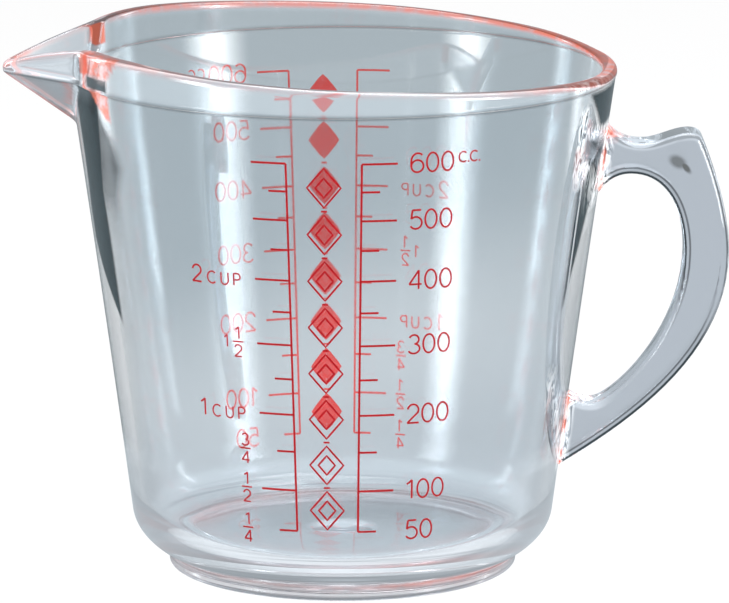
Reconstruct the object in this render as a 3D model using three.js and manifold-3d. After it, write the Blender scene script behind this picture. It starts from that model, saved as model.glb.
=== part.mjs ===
// A clear moulded measuring cup: a flared body with a pouring spout, a bonded C-shaped handle
// and two printed scales, one on each side. Millimetres, +Z up, the spout towards -X.

import * as THREE from 'three';
import { mergeVertices } from 'three/addons/utils/BufferGeometryUtils.js';
import { ConvexGeometry } from 'three/addons/geometries/ConvexGeometry.js';
import Module from 'manifold-3d';

const wasm = await Module();
wasm.setup();

// Cup body
const levelHeight = 104.3; // height of the ledge under the collar
const levelRadius = 56.8; // outer radius of the wall at that ledge
const shoulderHeight = 11.7; // where the rounded shoulder runs into the wall
const shoulderRadius = 44.2; // outer radius of the wall there
const wallBow = 0.2; // how far the wall's middle lies inside a straight line
const wallThickness = 2.8;
const shoulderLow = 6.4; // height that the shoulder's curve aims at
const footRadius = 36.5;
const footHeight = 2.8;
const footEdgeRound = 0.7;
const footRingWidth = 4;
const footRecess = 1.2; // hollow of the underside inside the foot ring
const floorThickness = 5.65;
const floorFlatRadius = 31.4;
const floorCurveRise = 10.4; // height of the inside curve between floor and wall

// Collar and lip
const collarStep = 0.2; // how far the collar stands proud of the wall
const collarEdge = 0.3; // height of the sloping underside of that step
const lipRiseHandle = 1.3; // lip above the ledge on the handle side
const lipCrestRise = 9; // height above the ledge at which the lip's two slopes would meet
const lipCrestReach = 50.3; // where they would meet, from the axis towards the spout
const lipCrestRound = 11; // length of the curve that joins them, to either side

// Spout
const spoutLength = 13.8; // tip beyond the wall at the ledge
const spoutHalfWidth = 17; // at the neck, where the sides leave the ledge
const spoutFlare = 2.6; // how much wider than that the sides stand at the crest of the lip
const spoutRootReach = 40; // inner end of the spout's wedge, inside the cup
const spoutTipHalfWidth = 1.6;
const spoutTipRise = 1.9; // lip at the tip above the ledge
const spoutBandRise = 0.3; // lower edge of the upright sides above the ledge
const spoutDrop = 11.5; // foot of the keel below the ledge
const spoutWall = 2.2;
const channelTipHalfWidth = 0.6;

// Handle, in the plane of the spout. Heights are drops below the ledge, reaches are from the wall.
const handleThickness = 10.4;
const handleEdgeRound = 1.8;
const bondGap = 0.3; // adhesive line between handle and wall
const bondDepth = 6; // how far the outline runs into the wall before it is trimmed to it
const seatDrop = 11; // top edge of the upper seat
const saddleDrop = 14.6; // lowest point of the thumb rest
const saddleReach = 7.7;
const hornDrop = 12.4; // top of the thumb stop
const hornReach = 17.1;
const hornRound = 2.7; // how far the rounded end of the thumb stop reaches back
const hornFall = 1.35; // how far it falls meanwhile
const gripDrop = 37.8; // rearmost point of the grip
const fingerRoom = 19.8; // wall to the grip's inner edge at that height
const gripDepth = 9.3;
const loopTopDrop = 21.1;
const loopTopReach = 6.2;
const upperSeatDrop = 25.2; // lower edge of the upper seat
const loopBottomDrop = 70;
const loopBottomReach = 5;
const lowerSeatDrop = 68.4; // upper edge of the lower seat
const seatFootDrop = 83.2; // lower edge of the lower seat
const tailSlope = 31.5; // degrees, the straight underside that runs down to the wall
const gripPullUp = 7.8; // how far each curve keeps its direction before it turns
const gripPullDown = 20.4;
const hornPull = 7.8;
const hornLean = 66.6; // degrees, slope of the back edge below the thumb stop
const tailPull = 21;
const saddlePull = 3.3;
const seatPullOut = 1.65;
const seatPullDown = 2.5;
const loopPullUp = 8.6;
const loopPullSide = 7.9;
const loopPullDown = 18;
const loopPullFoot = 4.2;
const lowerFillet = 2.1;

// Printed scales
const scaleStep = 50; // millilitres between marks
const scaleTop = 600; // highest mark
const scaleMargin = 6; // least height between a mark and the ledge
const frontTurn = 3.9; // degrees that each print is turned towards the spout
const backTurn = 4.5;
const scaleSpread = 7.9; // degrees from the middle of a print to either upright line
const longTick = 7.2;
const shortTick = 3.7;
const inkWidth = 0.6;
const inkThickness = 0.25;
const inkGap = 0.3; // print to wall

// Smoothness
const turnSteps = 80;
const wallSteps = 4;
const curveSteps = 6;
const outlineSteps = 9;
const roundSteps = 3;
const tickSteps = 4;
const volumeSlices = 40; // slices of each stretch of the cavity when a volume is summed
const mergeDistance = 0.0005;

const cubicMmPerMl = 1000;

const collarRadius = levelRadius + collarStep;
const collarTop = levelHeight + lipCrestRise + lipRiseHandle; // level above all of the lip
const floorHeight = footRecess + floorThickness;
const spoutReach = levelRadius + spoutLength;

// Outer radius of the wall at a height, up to the ledge.
function wallRadius(height) {
  const t = (height - shoulderHeight) / (levelHeight - shoulderHeight);
  const straight = shoulderRadius + (levelRadius - shoulderRadius) * t;
  const bow = 4 * t * (1 - t); // 1 half way up
  return straight - wallBow * bow;
}

function closedSolid(geometry) {
  const bare = geometry.clone();
  bare.deleteAttribute('normal');
  bare.deleteAttribute('uv');
  const merged = mergeVertices(bare, mergeDistance);
  const corners = merged.index.array;
  const triVerts = [];
  for (let i = 0; i < corners.length; i += 3) {
    const [a, b, c] = [corners[i], corners[i + 1], corners[i + 2]];
    if (a !== b && b !== c && c !== a) triVerts.push(a, b, c);
  }
  const vertProperties = new Float32Array(merged.attributes.position.array);
  const mesh = new wasm.Mesh({ numProp: 3, vertProperties, triVerts: new Uint32Array(triVerts) });
  return new wasm.Manifold(mesh);
}

function geometryOf(solid) {
  const mesh = solid.getMesh();
  const geometry = new THREE.BufferGeometry();
  geometry.setAttribute('position', new THREE.BufferAttribute(mesh.vertProperties, 3));
  geometry.setIndex(new THREE.BufferAttribute(mesh.triVerts, 1));
  geometry.computeVertexNormals();
  return geometry;
}

function turnedSolid(profile) {
  const geometry = new THREE.LatheGeometry(profile, turnSteps);
  geometry.rotateX(Math.PI / 2);
  return closedSolid(geometry);
}

// Points up a wall, `offset` outside the outer surface, from one height to another.
function wallLine(from, to, offset) {
  const points = [];
  for (let i = 0; i <= wallSteps; i++) {
    const height = from + ((to - from) * i) / wallSteps;
    points.push(new THREE.Vector2(wallRadius(height) + offset, height));
  }
  return points;
}

function bend(start, corner, end) {
  return new THREE.QuadraticBezierCurve(start, corner, end).getPoints(curveSteps);
}

// The full outside of the cup as one turned solid, grown by `offset`.
function outsideSolid(offset) {
  const at = (radius, height) => new THREE.Vector2(radius + offset, height);
  const recessRadius = footRadius - footRingWidth;
  const foot = bend(at(footRadius - footEdgeRound, 0), at(footRadius, 0), at(footRadius, footEdgeRound));
  const shoulder = bend(
    at(footRadius, footHeight),
    at(wallRadius(shoulderLow), shoulderLow),
    at(shoulderRadius, shoulderHeight),
  );
  return turnedSolid([
    new THREE.Vector2(0, footRecess),
    at(recessRadius, footRecess),
    at(recessRadius, 0),
    ...foot,
    ...shoulder,
    ...wallLine(shoulderHeight, levelHeight, offset).slice(1),
    at(collarRadius, levelHeight + collarEdge),
    at(collarRadius, collarTop),
    new THREE.Vector2(0, collarTop),
  ]);
}

// The inside of the cup, from the axis at the floor up the wall to above the lip.
function cavityProfile() {
  const wallStart = floorHeight + floorCurveRise;
  const cornerRadius = wallRadius(floorHeight) - wallThickness;
  const curve = bend(
    new THREE.Vector2(floorFlatRadius, floorHeight),
    new THREE.Vector2(cornerRadius, floorHeight),
    new THREE.Vector2(wallRadius(wallStart) - wallThickness, wallStart),
  );
  return [
    new THREE.Vector2(0, floorHeight),
    ...curve,
    ...wallLine(wallStart, levelHeight, -wallThickness).slice(1),
    new THREE.Vector2(levelRadius - wallThickness, collarTop),
  ];
}

// A wedge with flaring sides above a pointed keel. Inset 0 is the spout's outside,
// inset spoutWall its channel.
function spoutSolid(inset, tipHalfWidth) {
  const tip = new THREE.Vector2(-spoutReach, spoutTipHalfWidth);
  const bandLow = levelHeight + spoutBandRise;
  const keelFoot = levelHeight - spoutDrop;

  // One side in plan: its direction from the tip to the neck and the way towards the middle.
  const sideLine = (halfWidth) => {
    const neck = new THREE.Vector2(-Math.sqrt(collarRadius ** 2 - halfWidth ** 2), halfWidth);
    const along = neck.sub(tip).normalize();
    return { along, inward: new THREE.Vector2(along.y, -along.x) };
  };
  const low = sideLine(spoutHalfWidth);
  const high = sideLine(spoutHalfWidth + (spoutFlare * (collarTop - bandLow)) / lipCrestRise);

  // The underside falls evenly from the lower edge of the side to the keel.
  const depth = (x, y) => new THREE.Vector2(x, y).sub(tip).dot(low.inward);
  const slope = (bandLow - keelFoot) / depth(-wallRadius(keelFoot), 0);
  const underside = (x, y) => bandLow - slope * depth(x, y) + inset * Math.hypot(1, slope);

  const points = [new THREE.Vector3(-spoutRootReach, 0, underside(-spoutRootReach, 0))];
  for (const { along, inward } of [low, high]) {
    const edge = tip.clone().addScaledVector(inward, inset);
    const rootY = edge.y + ((-spoutRootReach - edge.x) * along.y) / along.x;
    const tipX = edge.x + ((tipHalfWidth - edge.y) * along.x) / along.y;
    for (const side of [-1, 1]) {
      const height = inward === low.inward ? underside(edge.x, edge.y) : collarTop;
      points.push(new THREE.Vector3(-spoutRootReach, side * rootY, height));
      points.push(new THREE.Vector3(tipX, side * tipHalfWidth, height));
    }
  }
  return closedSolid(new ConvexGeometry(points));
}

// Everything above the lip, whose side view climbs from the handle to a crest near the neck of the
// spout and falls from there to the tip.
function aboveLip() {
  const margin = lipCrestRise;
  const handleSide = new THREE.Vector2(collarRadius, levelHeight + lipRiseHandle);
  const crest = new THREE.Vector2(-lipCrestReach, levelHeight + lipCrestRise);
  const tip = new THREE.Vector2(-spoutReach, levelHeight + spoutTipRise);
  const from = (point, length) => crest.clone().lerp(point, length / crest.distanceTo(point));
  const start = from(handleSide, crest.distanceTo(handleSide) + margin);
  const end = from(tip, crest.distanceTo(tip) + margin);
  const [rise, fall] = [from(handleSide, lipCrestRound), from(tip, lipCrestRound)];
  const outline = new THREE.Shape();
  outline.moveTo(start.x, start.y);
  outline.lineTo(start.x, collarTop + margin);
  outline.lineTo(end.x, collarTop + margin);
  outline.lineTo(end.x, end.y);
  outline.lineTo(fall.x, fall.y);
  outline.quadraticCurveTo(crest.x, crest.y, rise.x, rise.y);
  outline.closePath();
  const depth = 2 * collarRadius + 2 * margin;
  const options = { depth, curveSegments: curveSteps, bevelEnabled: false };
  const block = new THREE.ExtrudeGeometry(outline, options);
  block.translate(0, 0, -depth / 2);
  block.rotateX(Math.PI / 2);
  return closedSolid(block);
}

function cupBody() {
  const cavity = cavityProfile();
  cavity.push(new THREE.Vector2(0, collarTop));
  const body = outsideSolid(0)
    .add(spoutSolid(0, spoutTipHalfWidth))
    .subtract(turnedSolid(cavity))
    .subtract(spoutSolid(spoutWall, channelTipHalfWidth))
    .subtract(aboveLip());
  return geometryOf(body);
}

// The handle's side view as one outline: along the thumb rest and the back of the grip to the
// lower seat, then back up along the finger loop. Both ends run into the wall.
function handleOutline() {
  const place = (reach, drop) => {
    const height = levelHeight - drop;
    return new THREE.Vector2(wallRadius(height) + reach, height);
  };
  const outline = new THREE.Shape();
  const curveTo = (pullA, pullB, end) => {
    outline.bezierCurveTo(pullA.x, pullA.y, pullB.x, pullB.y, end.x, end.y);
  };
  const shifted = (point, x, y) => new THREE.Vector2(point.x + x, point.y + y);
  const slant = (degrees, length) => {
    const angle = THREE.MathUtils.degToRad(degrees);
    return [length * Math.cos(angle), length * Math.sin(angle)];
  };

  const seatTop = place(0, seatDrop);
  const saddle = place(saddleReach, saddleDrop);
  const horn = place(hornReach, hornDrop);
  const back = place(fingerRoom + gripDepth, gripDrop);
  const seatFoot = place(0, seatFootDrop);
  const lowerSeat = place(0, lowerSeatDrop);
  const loopBottom = place(loopBottomReach, loopBottomDrop);
  const inner = place(fingerRoom, gripDrop);
  const loopTop = place(loopTopReach, loopTopDrop);
  const upperSeat = place(0, upperSeatDrop);

  outline.moveTo(seatTop.x - bondDepth, seatTop.y);
  outline.lineTo(seatTop.x, seatTop.y);
  curveTo(shifted(seatTop, seatPullOut, -seatPullDown), shifted(saddle, -saddlePull, 0), saddle);
  curveTo(shifted(saddle, saddlePull, 0), shifted(horn, -saddlePull, 0), horn);
  const hornBack = shifted(horn, hornRound, -hornFall);
  const [pullX, pullY] = slant(hornLean, hornPull);
  const hornCorner = hornBack.x - (hornFall * pullX) / pullY;
  outline.quadraticCurveTo(hornCorner, horn.y, hornBack.x, hornBack.y);
  curveTo(shifted(hornBack, pullX, -pullY), shifted(back, 0, gripPullUp), back);
  curveTo(shifted(back, 0, -gripPullDown), shifted(seatFoot, ...slant(tailSlope, tailPull)), seatFoot);
  outline.lineTo(seatFoot.x - bondDepth, seatFoot.y);
  outline.lineTo(lowerSeat.x - bondDepth, lowerSeat.y);
  outline.lineTo(lowerSeat.x, lowerSeat.y);
  outline.quadraticCurveTo(lowerSeat.x + lowerFillet, loopBottom.y, loopBottom.x, loopBottom.y);
  curveTo(shifted(loopBottom, loopPullFoot, 0), shifted(inner, 0, -loopPullDown), inner);
  curveTo(shifted(inner, 0, loopPullUp), shifted(loopTop, loopPullSide, 0), loopTop);
  outline.quadraticCurveTo(loopTop.x - loopPullFoot, loopTop.y, upperSeat.x, upperSeat.y);
  outline.lineTo(upperSeat.x - bondDepth, upperSeat.y);
  outline.closePath();
  return outline;
}

function handleGeometry() {
  const depth = handleThickness - 2 * handleEdgeRound;
  const bar = new THREE.ExtrudeGeometry(handleOutline(), {
    depth,
    curveSegments: outlineSteps,
    bevelEnabled: true,
    bevelThickness: handleEdgeRound,
    bevelSize: handleEdgeRound,
    bevelOffset: -handleEdgeRound,
    bevelSegments: roundSteps,
  });
  bar.translate(0, 0, -depth / 2);
  bar.rotateX(Math.PI / 2);
  return geometryOf(closedSolid(bar).subtract(outsideSolid(bondGap)));
}

// Height at which the cup holds a volume, summed over the turned slices of the cavity.
function fillHeight(millilitres) {
  const profile = cavityProfile();
  let left = millilitres * cubicMmPerMl;
  for (let i = 1; i < profile.length; i++) {
    const [low, high] = [profile[i - 1], profile[i]];
    const rise = (high.y - low.y) / volumeSlices;
    for (let k = 0; k < volumeSlices; k++) {
      const radius = low.x + ((high.x - low.x) * (k + 0.5)) / volumeSlices;
      const volume = Math.PI * radius * radius * rise;
      if (volume >= left) return low.y + rise * (k + left / volume);
      left -= volume;
    }
  }
  return Infinity;
}

function scaleMarks() {
  const marks = [];
  for (let volume = scaleStep; volume <= scaleTop; volume += scaleStep) {
    const height = fillHeight(volume);
    const long = volume % (2 * scaleStep) === 0;
    const length = long ? longTick : shortTick;
    if (height <= levelHeight - scaleMargin) marks.push({ height, length });
  }
  return marks;
}

// One upright line with its ticks, drawn flat and then wrapped on the wall. `facing` is the compass
// angle of the line, and `side` says which way its ticks point.
function scaleGeometry(facing, side) {
  const half = inkWidth / 2;
  const marks = scaleMarks();
  const points = [];
  const addPoint = (across, height) => points.push(new THREE.Vector2(side * across, height));
  for (const { height, length } of marks) {
    const across = (i) => half + ((length - half) * i) / tickSteps;
    for (let i = 0; i <= tickSteps; i++) addPoint(across(i), height - half);
    for (let i = tickSteps; i >= 0; i--) addPoint(across(i), height + half);
  }
  for (const { height } of marks.reverse()) {
    addPoint(-half, height + half);
    addPoint(-half, height - half);
  }
  const flat = new THREE.Shape(points);
  const print = new THREE.ExtrudeGeometry(flat, { depth: inkThickness, bevelEnabled: false });
  const place = print.attributes.position;
  for (let i = 0; i < place.count; i++) {
    const height = place.getY(i);
    const angle = THREE.MathUtils.degToRad(facing) + place.getX(i) / wallRadius(height);
    const radius = wallRadius(height) + inkGap + place.getZ(i);
    place.setXYZ(i, radius * Math.cos(angle), radius * Math.sin(angle), height);
  }
  return geometryOf(closedSolid(print));
}

function addPiece(group, name, geometry, finish) {
  const piece = new THREE.Mesh(geometry, new THREE.MeshStandardMaterial(finish));
  piece.name = name;
  group.add(piece);
}

const clearBody = { color: '#c3cdd3', roughness: 0.06, metalness: 0, transparent: true, opacity: 0.4 };
const clearHandle = { color: '#b4bec6', roughness: 0.06, metalness: 0, transparent: true, opacity: 0.5 };
const redInk = { color: '#d8332c', roughness: 0.5, metalness: 0 };

const cup = new THREE.Group();
addPiece(cup, 'cup_body', cupBody(), clearBody);
addPiece(cup, 'handle', handleGeometry(), clearHandle);
for (const [name, middle] of [['front', 270 - frontTurn], ['back', 90 + backTurn]]) {
  addPiece(cup, `${name}_volume_scale`, scaleGeometry(middle + scaleSpread, 1), redInk);
  addPiece(cup, `${name}_cup_scale`, scaleGeometry(middle - scaleSpread, -1), redInk);
}

// The origin is the middle of the whole length, on the surface that the foot stands on.
const handleReach = wallRadius(levelHeight - gripDrop) + fingerRoom + gripDepth;
cup.position.x = (spoutReach - handleReach) / 2;
const part = new THREE.Group();
part.add(cup);

export default part;
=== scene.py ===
import math
from functools import partial

import bpy
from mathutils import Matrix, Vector


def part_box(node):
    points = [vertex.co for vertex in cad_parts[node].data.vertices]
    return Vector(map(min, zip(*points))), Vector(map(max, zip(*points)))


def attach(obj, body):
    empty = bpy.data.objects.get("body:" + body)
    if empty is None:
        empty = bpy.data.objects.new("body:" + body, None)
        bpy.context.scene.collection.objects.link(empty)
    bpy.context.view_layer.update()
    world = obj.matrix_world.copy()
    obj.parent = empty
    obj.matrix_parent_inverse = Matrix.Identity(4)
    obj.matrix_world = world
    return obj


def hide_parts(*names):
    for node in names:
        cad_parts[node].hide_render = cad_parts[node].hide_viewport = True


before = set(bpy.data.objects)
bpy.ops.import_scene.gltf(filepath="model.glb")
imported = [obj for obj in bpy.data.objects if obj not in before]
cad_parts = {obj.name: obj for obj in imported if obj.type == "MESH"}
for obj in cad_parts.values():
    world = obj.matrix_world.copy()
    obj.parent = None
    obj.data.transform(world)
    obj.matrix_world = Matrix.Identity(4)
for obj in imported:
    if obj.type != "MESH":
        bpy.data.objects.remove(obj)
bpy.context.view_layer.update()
mm = 0.001


def clearSelection():
    bpy.ops.object.select_all(action="DESELECT")


def makeActive(piece):
    clearSelection()
    piece.select_set(True)
    bpy.context.view_layer.objects.active = piece


def applyModifiers(piece):
    makeActive(piece)
    for modifier in list(piece.modifiers):
        bpy.ops.object.modifier_apply(modifier=modifier.name)


def smoothPiece(piece, degrees):
    makeActive(piece)
    bpy.ops.object.shade_smooth_by_angle(angle=math.radians(degrees))


# Ends the edit of a mesh: its points welded, its faces looking out.
def weld(limit):
    bpy.ops.mesh.select_all(action="SELECT")
    bpy.ops.mesh.remove_doubles(threshold=limit * mm)
    bpy.ops.mesh.normals_make_consistent(inside=False)
    bpy.ops.object.mode_set(mode="OBJECT")


def finishPiece(piece, material, slotName, *nodes):
    piece.data.materials.clear()
    piece.data.materials.append(material)
    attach(piece, "root")
    if nodes:
        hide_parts(*nodes)


cup = {
    "levelHeight": 104.3,  # ledge under the collar
    "levelRadius": 56.8,
    "levelRound": 0.18,
    "levelEdge": 0.1,  # last row below it
    "levelOut": 0.02,
    "shoulderHeight": 11.7,
    "shoulderRadius": 44.2,
    "shoulderLow": 6.4,
    "wallBow": 0.2,
    "wall": 2.8,
    "footRadius": 36.5,
    "footHeight": 2.8,
    "footRound": 0.7,
    "footRing": 4.0,
    "footRows": (1.3, 2.0, 2.5),
    "ringInset": 0.4,
    "ringFlat": 1.5,
    "ringRound": 0.5,
    "footRecess": 1.2,
    "recessRows": (0, 8, 16, 24, 30),
    "recessInset": 0.6,
    "thickBelow": 20,  # the base is thick up to here
    "floorHeight": 6.85,
    "floorFlat": 31.4,
    "floorRise": 10.4,
    "floorRows": (24, 16, 8),
    "gateRadius": 3.6,  # mark of the mould's gate, in the middle of the floor
    "gateEdge": 0.25,
    "gateRise": 0.2,
    "gateDome": ((2, 1.3), (0, 1.4)),  # radius and share of the rise
    "collarStep": 0.2,
    "collarFrom": 0.7,  # above the ledge
    "lipFrom": 0.5,
    "lipTop": 109.0,  # height that the lip is turned at, before it is raised to its curve
    "lipRoundOut": 1.1,
    "lipRoundIn": 0.8,
    "wallRow": 6.0,
    "fineFrom": 89.0,  # rows are close together above this height
    "fineRow": 0.5,
    "bendSteps": 24,
    "spoutArc": 80,  # degrees of the turn that hold the spout
    "spoutSteps": 176,
    "restSteps": 240,
    "weld": 0.002,
    "smoothUnder": 50,
    # lip height over the distance from the axis, from the handle to the spout's tip
    "lipCurve": [(60, 105.2), (53.5, 105.9), (44, 107.0), (34, 107.7), (24, 108.4), (13, 109.1), (0, 109.7),
                 (-11, 110.2), (-25, 110.95), (-35, 111.6), (-45, 112.1), (-52, 111.75), (-59, 110.1),
                 (-64.3, 108.5), (-70.6, 106.2), (-76, 104.0)],
}
cup["collarRadius"] = cup["levelRadius"] + cup["collarStep"]
level = cup["levelHeight"]
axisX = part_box("cup_body")[1][0] / mm - cup["collarRadius"]


def wallRadius(height):
    t = (height - cup["shoulderHeight"]) / (level - cup["shoulderHeight"])
    cone = cup["shoulderRadius"] + (cup["levelRadius"] - cup["shoulderRadius"]) * t
    return cone - cup["wallBow"] * 4 * t * (1 - t)


def bezier(start, corner, end, steps):
    made = []
    for i in range(steps + 1):
        t = i / steps
        shares = ((1 - t) ** 2, 2 * t * (1 - t), t * t)
        made.append(tuple(sum(p[k] * s for p, s in zip((start, corner, end), shares)) for k in (0, 1)))
    return made


# Points on an arc of an ellipse, between two angles in degrees.
def curveRun(cx, cy, rx, ry, start, end, steps=14):
    made = []
    for i in range(steps + 1):
        angle = math.radians(start + (end - start) * i / steps)
        made.append((cx + rx * math.cos(angle), cy + ry * math.sin(angle)))
    return made


def rows(low, high, step):
    count = max(1, round((high - low) / step))
    return [low + (high - low) * i / count for i in range(count + 1)]


def outsideProfile():
    foot, edge, recess, curl = cup["footRadius"], cup["footRound"], cup["footRecess"], cup["ringRound"]
    ring = foot - cup["footRing"]
    flat, inset = ring - cup["recessInset"], cup["ringInset"]
    made = [(r, recess) for r in cup["recessRows"]] + [(flat, recess)]
    made += curveRun(flat, recess - curl, curl, curl, 75, 0, 3)
    made += curveRun(ring + inset, inset, curl, curl, 190, 265, 3)
    made += [(ring + cup["ringFlat"], 0), (foot - edge, 0)]
    made += curveRun(foot - edge, edge, edge, edge, -67, 0, 3)
    made += [(foot, z) for z in cup["footRows"]]
    made += bezier((foot, cup["footHeight"]), (wallRadius(cup["shoulderLow"]), cup["shoulderLow"]),
                   (cup["shoulderRadius"], cup["shoulderHeight"]), cup["bendSteps"])
    heights = rows(cup["shoulderHeight"], cup["fineFrom"], cup["wallRow"])[1:]
    heights += rows(cup["fineFrom"], level - cup["levelEdge"], cup["fineRow"])[1:]
    made += [(wallRadius(z), z) for z in heights] + [(cup["levelRadius"], level)]
    out, up, curl = cup["levelRadius"] + cup["levelOut"], level + cup["collarStep"], cup["levelRound"]
    return made + curveRun(out, up, curl, curl, -80, 0, 3)


def lipProfile():
    top = cup["lipTop"]
    out = cup["collarRadius"]
    inner = cup["levelRadius"] - cup["wall"]
    a, b = cup["lipRoundOut"], cup["lipRoundIn"]
    made = [(out, z) for z in rows(level + cup["collarFrom"], top - a, cup["fineRow"])]
    made += curveRun(out - a, top - a, a, a, 12, 90, 6)
    made += [((out - a + inner + b) / 2, top)]
    return made + curveRun(inner + b, top - b, b, b, 90, 168, 6)


def insideProfile():
    top = cup["lipTop"] - cup["lipRoundIn"]
    floor, rise, gate = cup["floorHeight"], cup["gateRise"], cup["gateRadius"]
    start = floor + cup["floorRise"]
    wall = cup["wall"]
    made = [(cup["levelRadius"] - wall, z) for z in reversed(rows(level, top, cup["fineRow"]))]
    heights = rows(start, cup["fineFrom"], cup["wallRow"])[:-1]
    heights += rows(cup["fineFrom"], level, cup["fineRow"])[:-1]
    made += [(wallRadius(z) - wall, z) for z in reversed(heights)]
    made += bezier((wallRadius(start) - wall, start), (wallRadius(floor) - wall, floor),
                   (cup["floorFlat"], floor), cup["bendSteps"])[1:]
    made += [(r, floor) for r in cup["floorRows"]]
    made += [(gate, floor), (gate - cup["gateEdge"], floor + rise)]
    return made + [(r, floor + rise * share) for r, share in cup["gateDome"]]


# One upright section, drawn vertex by vertex, then spun round the axis in stages of (degrees, steps).
def turnedPiece(name, profile, startAngle, stages):
    clearSelection()
    bpy.ops.mesh.primitive_plane_add(size=mm)
    piece = bpy.context.object
    piece.name = piece.data.name = name
    turn = math.radians(startAngle)
    place = [Vector((axisX + r * math.cos(turn), r * math.sin(turn), z)) * mm for r, z in profile]
    bpy.ops.object.mode_set(mode="EDIT")
    bpy.ops.mesh.select_all(action="SELECT")
    bpy.ops.mesh.merge(type="CENTER")
    bpy.ops.transform.translate(value=place[0])
    for here, there in zip(place, place[1:]):
        bpy.ops.mesh.extrude_region_move(TRANSFORM_OT_translate={"value": there - here})
    bpy.ops.mesh.select_all(action="SELECT")
    for degrees, steps in stages:
        bpy.ops.mesh.spin(steps=steps, angle=math.radians(degrees), center=(axisX * mm, 0, 0), axis=(0, 0, 1))
    weld(cup["weld"])
    return piece


spout = {
    "tip": 70.6,  # from the axis
    "tipHalfWidth": 1.6,
    "halfWidth": 17.0,  # at the neck, level with the ledge
    "flare": 2.6 / 9,  # how much wider for each mm above that
    "bandRise": 0.3,
    "drop": 11.5,  # foot of the keel below the ledge
    "wall": 2.2,
    "channelTip": 68.5,
    "channelSoft": 1.0,
    "edgeSoft": 0.012,  # rounding of keel and tip
    "neckSoft": 1.1,  # rounding where the sides leave the wall
    "tipSoft": 0.9,
    "halfArc": 40,  # degrees to each side that it is drawn out of
    "reachFade": (-0.2, 1.1),
    "shapeRounds": 6,
}


def softMax(a, b, width):
    h = max(width - abs(a - b), 0) / width
    return max(a, b) + h * h * width / 4


def softMin(a, b, width):
    return -softMax(-a, -b, width)


# Distance from the axis to the spout's outside, or to its channel, `turn` radians off the -X direction.
def spoutRadius(turn, height, channel):
    band = level + spout["bandRise"]
    above = max(0, height - band)
    below = max(0, band - height)
    half = spout["halfWidth"] + spout["flare"] * above
    neckX = -math.sqrt(cup["collarRadius"] ** 2 - half ** 2)
    alongX, alongY = neckX + spout["tip"], half - spout["tipHalfWidth"]
    length = math.hypot(alongX, alongY)
    inX, inY = alongY / length, -alongX / length
    keel = level - spout["drop"]
    slope = (band - keel) / ((spout["tip"] - wallRadius(keel)) * inX - spout["tipHalfWidth"] * inY)
    depth = below / slope
    if channel:
        bottom = (below + spout["wall"] * math.hypot(1, slope) - above) / slope
        depth = softMax(spout["wall"], bottom, spout["channelSoft"])
    side = math.sqrt(math.sin(turn) ** 2 + spout["edgeSoft"] ** 2)
    reach = spout["tip"] * inX - spout["tipHalfWidth"] * inY - depth
    radius = reach / (inX * math.cos(turn) - inY * side)
    tip = spout["channelTip"] if channel else spout["tip"]
    return softMin(radius, tip / math.cos(turn), spout["tipSoft"])


def lipHeight(x):
    curve = cup["lipCurve"]
    for i in range(1, len(curve) - 2):
        (x0, z0), (x1, z1), (x2, z2), (x3, z3) = curve[i - 1:i + 3]
        if x >= x2 or i == len(curve) - 3:
            t = min(1, max(0, (x1 - x) / (x1 - x2)))
            m1 = (z2 - z0) * (x1 - x2) / (x0 - x2)
            m2 = (z3 - z1) * (x1 - x2) / (x1 - x3)
            return ((2 * t ** 3 - 3 * t ** 2 + 1) * z1 + (t ** 3 - 2 * t ** 2 + t) * m1
                    + (3 * t ** 2 - 2 * t ** 3) * z2 + (t ** 3 - t ** 2) * m2)


# Raises the turned lip to its curve and pulls wall and lip out to the spout.
def shapeLip(piece):
    ledge = level + cup["lipFrom"]
    top = cup["lipTop"]
    soft = spout["neckSoft"]
    for vertex in piece.data.vertices:
        x, y, z = vertex.co.x / mm - axisX, vertex.co.y / mm, vertex.co.z / mm
        if z < cup["fineFrom"]:
            continue
        radius = math.hypot(x, y)
        cosine, sine = x / radius, y / radius
        turn = math.atan2(abs(y), -x)
        isLip = z > ledge
        outer = cup["collarRadius"] if isLip else wallRadius(min(z, level))
        inner = wallRadius(level if isLip else min(z, level)) - cup["wall"]
        across = min(1, max(0, (radius - inner) / (outer - inner)))
        if not isLip:
            across = 1 if radius > outer - cup["wall"] / 2 else 0
        height, newRadius = z, radius
        for again in range(spout["shapeRounds"]):
            if isLip:
                lip = lipHeight(newRadius * cosine)
                roundHeight = cup["lipRoundOut"] if across > 0.5 else cup["lipRoundIn"]
                if z > top - roundHeight:
                    height = lip - (top - z)
                else:
                    height = ledge + (z - ledge) * (lip - roundHeight - ledge) / (top - roundHeight - ledge)
            if turn < math.radians(spout["halfArc"]):
                start = outer if isLip else max(outer, radius)
                outside = softMax(start, spoutRadius(turn, height, False), soft)
                inside = softMax(inner, spoutRadius(turn, height, True), soft)
                newRadius = inside + (outside - inside) * across
        vertex.co = Vector((axisX + newRadius * cosine, newRadius * sine, height)) * mm


arc = cup["spoutArc"]
shell = turnedPiece("cupShell", outsideProfile() + lipProfile() + insideProfile(), 180 - arc / 2,
                    [(arc, cup["spoutSteps"]), (360 - arc, cup["restSteps"])])
shapeLip(shell)
smoothPiece(shell, cup["smoothUnder"])
print("cup turned and its spout drawn out:", len(shell.data.polygons), "faces")

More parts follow.
